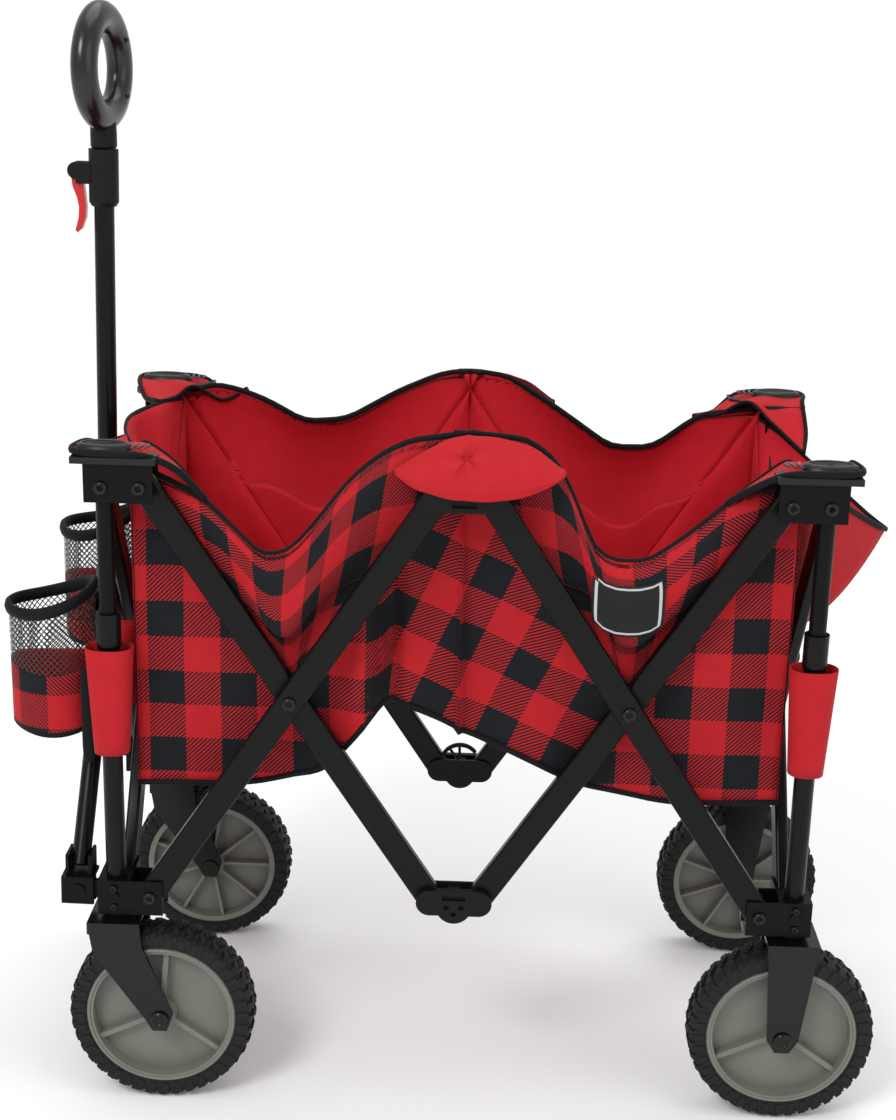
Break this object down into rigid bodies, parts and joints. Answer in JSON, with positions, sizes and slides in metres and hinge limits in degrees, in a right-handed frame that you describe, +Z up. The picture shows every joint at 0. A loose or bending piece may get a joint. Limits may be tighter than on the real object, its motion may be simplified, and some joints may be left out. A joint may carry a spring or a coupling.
{
  "type": "folding wagon",
  "caption": "Folding camp wagon: crossing-tube frame with a hung fabric bag, swivelling front wheels, fixed rear wheels and a telescoping pull handle.",
  "frame": {"origin": "on the ground, under the middle of the overall box", "axes": "+X towards the rear, +Y to the right-hand side, +Z up"},
  "size_m": [0.846, 0.3816, 1.0339],
  "materials": {
    "bracket_black": "satin",
    "tube_black": "satin",
    "post_black": "satin",
    "pull_tube_black": "satin",
    "cap_plastic": "satin",
    "fork_black": "satin",
    "tyre": "matt",
    "hub_grey": "satin",
    "joint_plastic": "matt",
    "yoke_black": "satin",
    "collar_plastic": "satin",
    "lever_red": "gloss",
    "grip_gloss": "gloss",
    "bag_plaid": "woven",
    "bag_end": "woven",
    "bag_floor": "woven"
  },
  "bodies": {
    "lower_corner_front_left": {"lower_bracket_front_left": "bracket_black", "outer_post_front_left": "post_black"},
    "upper_corner_front_left": {"upper_bracket_front_left": "bracket_black", "corner_cap_front_left": "cap_plastic", "bag_front": "bag_end"},
    "caster_front_left": {"fork_front_left": "fork_black"},
    "wheel_front_left": {"tyre_front_left": "tyre", "wheel_hub_front_left": "hub_grey"},
    "lower_corner_front_right": {"lower_bracket_front_right": "bracket_black", "outer_post_front_right": "post_black"},
    "upper_corner_front_right": {"upper_bracket_front_right": "bracket_black", "corner_cap_front_right": "cap_plastic"},
    "caster_front_right": {"fork_front_right": "fork_black"},
    "wheel_front_right": {"tyre_front_right": "tyre", "wheel_hub_front_right": "hub_grey"},
    "lower_corner_rear_left": {"lower_bracket_rear_left": "bracket_black", "outer_post_rear_left": "post_black", "fork_rear_left": "fork_black"},
    "upper_corner_rear_left": {"upper_bracket_rear_left": "bracket_black", "corner_cap_rear_left": "cap_plastic", "bag_rear": "bag_end"},
    "wheel_rear_left": {"tyre_rear_left": "tyre", "wheel_hub_rear_left": "hub_grey"},
    "lower_corner_rear_right": {"lower_bracket_rear_right": "bracket_black", "outer_post_rear_right": "post_black", "fork_rear_right": "fork_black"},
    "upper_corner_rear_right": {"upper_bracket_rear_right": "bracket_black", "corner_cap_rear_right": "cap_plastic"},
    "wheel_rear_right": {"tyre_rear_right": "tyre", "wheel_hub_rear_right": "hub_grey"},
    "side_a_left": {"side_tube_a_left": "tube_black"},
    "side_b_left": {"side_tube_b_left": "tube_black"},
    "side_c_left": {"side_tube_c_left": "tube_black"},
    "side_d_left": {"side_tube_d_left": "tube_black"},
    "side_a_right": {"side_tube_a_right": "tube_black"},
    "side_b_right": {"side_tube_b_right": "tube_black"},
    "side_c_right": {"side_tube_c_right": "tube_black"},
    "side_d_right": {"side_tube_d_right": "tube_black"},
    "end_e_front": {"end_tube_e_front": "tube_black"},
    "end_f_front": {"end_tube_f_front": "tube_black"},
    "end_e_rear": {"end_tube_e_rear": "tube_black"},
    "end_f_rear": {"end_tube_f_rear": "tube_black"},
    "top_hub_left": {"top_hub_left": "joint_plastic", "bag_side_left": "bag_plaid"},
    "top_hub_right": {"top_hub_right": "joint_plastic", "bag_side_right": "bag_plaid"},
    "bottom_hub_left": {"bottom_hub_left": "joint_plastic", "bag_floor": "bag_floor"},
    "bottom_hub_right": {"bottom_hub_right": "joint_plastic"},
    "hub_cap_right": {"hub_cap_right": "joint_plastic"},
    "yoke_left": {"yoke_left": "yoke_black"},
    "yoke_right": {"yoke_right": "yoke_black"},
    "arm_left": {"handle_arm_left": "tube_black"},
    "arm_right": {"handle_arm_right": "tube_black"},
    "handle_post": {"handle_hub": "yoke_black", "pull_tube_outer": "pull_tube_black", "lock_collar": "collar_plastic"},
    "lock_lever": {"lock_lever": "lever_red"},
    "handle_slider": {"pull_tube_inner": "pull_tube_black", "grip": "grip_gloss"}
  },
  "joints": [
    {"name": "fold", "type": "hinge", "parent": "lower_corner_front_left", "child": "side_b_left", "pos_m": [-0.2855, -0.1628, 0.2152], "axis": [0, -1, 0], "range_deg": [-18, 26], "deforming": ["bag_side_left", "bag_side_right", "bag_front", "bag_rear", "bag_floor"]},
    {"name": "fold_side_a_left", "type": "hinge", "parent": "side_b_left", "child": "side_a_left", "pos_m": [-0.15193, -0.1628, 0.417], "axis": [0, -1, 0], "range_deg": [-52, 36]},
    {"name": "fold_upper_corner_front_left", "type": "hinge", "parent": "side_a_left", "child": "upper_corner_front_left", "pos_m": [-0.2855, -0.1628, 0.6188], "axis": [0, -1, 0], "range_deg": [-18, 26]},
    {"name": "fold_bottom_hub_left", "type": "hinge", "parent": "side_a_left", "child": "bottom_hub_left", "pos_m": [-0.01835, -0.1628, 0.2152], "axis": [0, -1, 0], "range_deg": [-18, 26]},
    {"name": "fold_top_hub_left", "type": "hinge", "parent": "side_b_left", "child": "top_hub_left", "pos_m": [-0.01835, -0.1628, 0.6188], "axis": [0, -1, 0], "range_deg": [-26, 18]},
    {"name": "fold_side_c_left", "type": "hinge", "parent": "top_hub_left", "child": "side_c_left", "pos_m": [0.02835, -0.1628, 0.6188], "axis": [0, -1, 0], "range_deg": [-26, 18]},
    {"name": "fold_side_d_left", "type": "hinge", "parent": "side_c_left", "child": "side_d_left", "pos_m": [0.16192, -0.1628, 0.417], "axis": [0, -1, 0], "range_deg": [-36, 52]},
    {"name": "fold_upper_corner_rear_left", "type": "hinge", "parent": "side_d_left", "child": "upper_corner_rear_left", "pos_m": [0.2955, -0.1628, 0.6188], "axis": [0, -1, 0], "range_deg": [-26, 18]},
    {"name": "fold_lower_corner_rear_left", "type": "hinge", "parent": "side_c_left", "child": "lower_corner_rear_left", "pos_m": [0.2955, -0.1628, 0.2152], "axis": [0, -1, 0], "range_deg": [-18, 26]},
    {"name": "fold_end_f_front", "type": "hinge", "parent": "upper_corner_front_left", "child": "end_f_front", "pos_m": [-0.3195, -0.1336, 0.6188], "axis": [1, 0, 0], "range_deg": [-26, 18]},
    {"name": "fold_end_e_front", "type": "hinge", "parent": "end_f_front", "child": "end_e_front", "pos_m": [-0.3195, 0, 0.417], "axis": [1, 0, 0], "range_deg": [-36, 52]},
    {"name": "fold_upper_corner_front_right", "type": "hinge", "parent": "end_e_front", "child": "upper_corner_front_right", "pos_m": [-0.3195, 0.1336, 0.6188], "axis": [1, 0, 0], "range_deg": [-26, 18]},
    {"name": "fold_lower_corner_front_right", "type": "hinge", "parent": "end_f_front", "child": "lower_corner_front_right", "pos_m": [-0.3195, 0.1336, 0.2152], "axis": [1, 0, 0], "range_deg": [-18, 26]},
    {"name": "fold_side_a_right", "type": "hinge", "parent": "upper_corner_front_right", "child": "side_a_right", "pos_m": [-0.2855, 0.1628, 0.6188], "axis": [0, -1, 0], "range_deg": [-26, 18]},
    {"name": "fold_side_b_right", "type": "hinge", "parent": "side_a_right", "child": "side_b_right", "pos_m": [-0.15193, 0.1628, 0.417], "axis": [0, -1, 0], "range_deg": [-36, 52]},
    {"name": "fold_top_hub_right", "type": "hinge", "parent": "side_b_right", "child": "top_hub_right", "pos_m": [-0.01835, 0.1628, 0.6188], "axis": [0, -1, 0], "range_deg": [-26, 18]},
    {"name": "fold_bottom_hub_right", "type": "hinge", "parent": "side_a_right", "child": "bottom_hub_right", "pos_m": [-0.01835, 0.1628, 0.2152], "axis": [0, -1, 0], "range_deg": [-18, 26]},
    {"name": "fold_end_f_rear", "type": "hinge", "parent": "upper_corner_rear_left", "child": "end_f_rear", "pos_m": [0.3295, -0.1336, 0.6188], "axis": [1, 0, 0], "range_deg": [-26, 18]},
    {"name": "fold_end_e_rear", "type": "hinge", "parent": "end_f_rear", "child": "end_e_rear", "pos_m": [0.3295, 0, 0.417], "axis": [1, 0, 0], "range_deg": [-36, 52]},
    {"name": "fold_upper_corner_rear_right", "type": "hinge", "parent": "end_e_rear", "child": "upper_corner_rear_right", "pos_m": [0.3295, 0.1336, 0.6188], "axis": [1, 0, 0], "range_deg": [-26, 18]},
    {"name": "fold_lower_corner_rear_right", "type": "hinge", "parent": "end_f_rear", "child": "lower_corner_rear_right", "pos_m": [0.3295, 0.1336, 0.2152], "axis": [1, 0, 0], "range_deg": [-18, 26]},
    {"name": "fold_side_d_right", "type": "hinge", "parent": "upper_corner_rear_right", "child": "side_d_right", "pos_m": [0.2955, 0.1628, 0.6188], "axis": [0, -1, 0], "range_deg": [-18, 26]},
    {"name": "fold_side_c_right", "type": "hinge", "parent": "side_d_right", "child": "side_c_right", "pos_m": [0.16192, 0.1628, 0.417], "axis": [0, -1, 0], "range_deg": [-52, 36]},
    {"name": "fold_hub_cap_right", "type": "hinge", "parent": "side_c_right", "child": "hub_cap_right", "pos_m": [0.02835, 0.1628, 0.6188], "axis": [0, -1, 0], "range_deg": [-18, 26]},
    {"name": "handle_swing", "type": "hinge", "parent": "lower_corner_front_left", "child": "yoke_left", "pos_m": [-0.357, -0.158, 0.214], "axis": [0, -1, 0], "range_deg": [0, 100]},
    {"name": "fold_arm_left", "type": "hinge", "parent": "yoke_left", "child": "arm_left", "pos_m": [-0.35655, -0.1476, 0.24], "axis": [0.9998, 0, -0.0175], "range_deg": [-18, 26]},
    {"name": "fold_handle_post", "type": "hinge", "parent": "arm_left", "child": "handle_post", "pos_m": [-0.35302, -0.014, 0.44177], "axis": [0.9998, 0, -0.0175], "range_deg": [-26, 18]},
    {"name": "fold_arm_right", "type": "hinge", "parent": "handle_post", "child": "arm_right", "pos_m": [-0.35302, 0.014, 0.44177], "axis": [0.9998, 0, -0.0175], "range_deg": [-26, 18]},
    {"name": "fold_yoke_right", "type": "hinge", "parent": "arm_right", "child": "yoke_right", "pos_m": [-0.35655, 0.1476, 0.24], "axis": [0.9998, 0, -0.0175], "range_deg": [-18, 26]},
    {"name": "handle_slide", "type": "slide", "parent": "handle_post", "child": "handle_slider", "axis": [0.0175, 0, 0.9998], "range_m": [0, 0.25]},
    {"name": "lock_lever_turn", "type": "hinge", "parent": "handle_post", "child": "lock_lever", "pos_m": [-0.37036, 0, 0.88084], "axis": [0, 1, 0], "range_deg": [0, 60]},
    {"name": "swivel_left", "type": "hinge", "parent": "lower_corner_front_left", "child": "caster_front_left", "pos_m": [-0.3195, -0.1628, 0.19], "axis": [0, 0, 1], "continuous": true},
    {"name": "wheel_spin_front_left", "type": "hinge", "parent": "caster_front_left", "child": "wheel_front_left", "pos_m": [-0.2768, -0.1628, 0.09], "axis": [0, 1, 0], "continuous": true},
    {"name": "wheel_spin_rear_left", "type": "hinge", "parent": "lower_corner_rear_left", "child": "wheel_rear_left", "pos_m": [0.3257, -0.1628, 0.09], "axis": [0, 1, 0], "continuous": true},
    {"name": "swivel_right", "type": "hinge", "parent": "lower_corner_front_right", "child": "caster_front_right", "pos_m": [-0.3195, 0.1628, 0.19], "axis": [0, 0, -1], "continuous": true},
    {"name": "wheel_spin_front_right", "type": "hinge", "parent": "caster_front_right", "child": "wheel_front_right", "pos_m": [-0.2768, 0.1628, 0.09], "axis": [0, 1, 0], "continuous": true},
    {"name": "wheel_spin_rear_right", "type": "hinge", "parent": "lower_corner_rear_right", "child": "wheel_rear_right", "pos_m": [0.3257, 0.1628, 0.09], "axis": [0, 1, 0], "continuous": true}
  ],
  "couplings": [
    {"joint": "fold_side_a_left", "follows": "fold", "ratio": -2},
    {"joint": "fold_upper_corner_front_left", "follows": "fold", "ratio": 1},
    {"joint": "fold_bottom_hub_left", "follows": "fold", "ratio": 1},
    {"joint": "fold_top_hub_left", "follows": "fold", "ratio": -1},
    {"joint": "fold_side_c_left", "follows": "fold", "ratio": -1},
    {"joint": "fold_side_d_left", "follows": "fold", "ratio": 2},
    {"joint": "fold_upper_corner_rear_left", "follows": "fold", "ratio": -1},
    {"joint": "fold_lower_corner_rear_left", "follows": "fold", "ratio": 1},
    {"joint": "fold_end_f_front", "follows": "fold", "ratio": -1},
    {"joint": "fold_end_e_front", "follows": "fold", "ratio": 2},
    {"joint": "fold_upper_corner_front_right", "follows": "fold", "ratio": -1},
    {"joint": "fold_lower_corner_front_right", "follows": "fold", "ratio": 1},
    {"joint": "fold_side_a_right", "follows": "fold", "ratio": -1},
    {"joint": "fold_side_b_right", "follows": "fold", "ratio": 2},
    {"joint": "fold_top_hub_right", "follows": "fold", "ratio": -1},
    {"joint": "fold_bottom_hub_right", "follows": "fold", "ratio": 1},
    {"joint": "fold_end_f_rear", "follows": "fold", "ratio": -1},
    {"joint": "fold_end_e_rear", "follows": "fold", "ratio": 2},
    {"joint": "fold_upper_corner_rear_right", "follows": "fold", "ratio": -1},
    {"joint": "fold_lower_corner_rear_right", "follows": "fold", "ratio": 1},
    {"joint": "fold_side_d_right", "follows": "fold", "ratio": 1},
    {"joint": "fold_side_c_right", "follows": "fold", "ratio": -2},
    {"joint": "fold_hub_cap_right", "follows": "fold", "ratio": 1},
    {"joint": "fold_arm_left", "follows": "fold", "ratio": 1},
    {"joint": "fold_handle_post", "follows": "fold", "ratio": -1},
    {"joint": "fold_arm_right", "follows": "fold", "ratio": -1},
    {"joint": "fold_yoke_right", "follows": "fold", "ratio": 1}
  ]
}
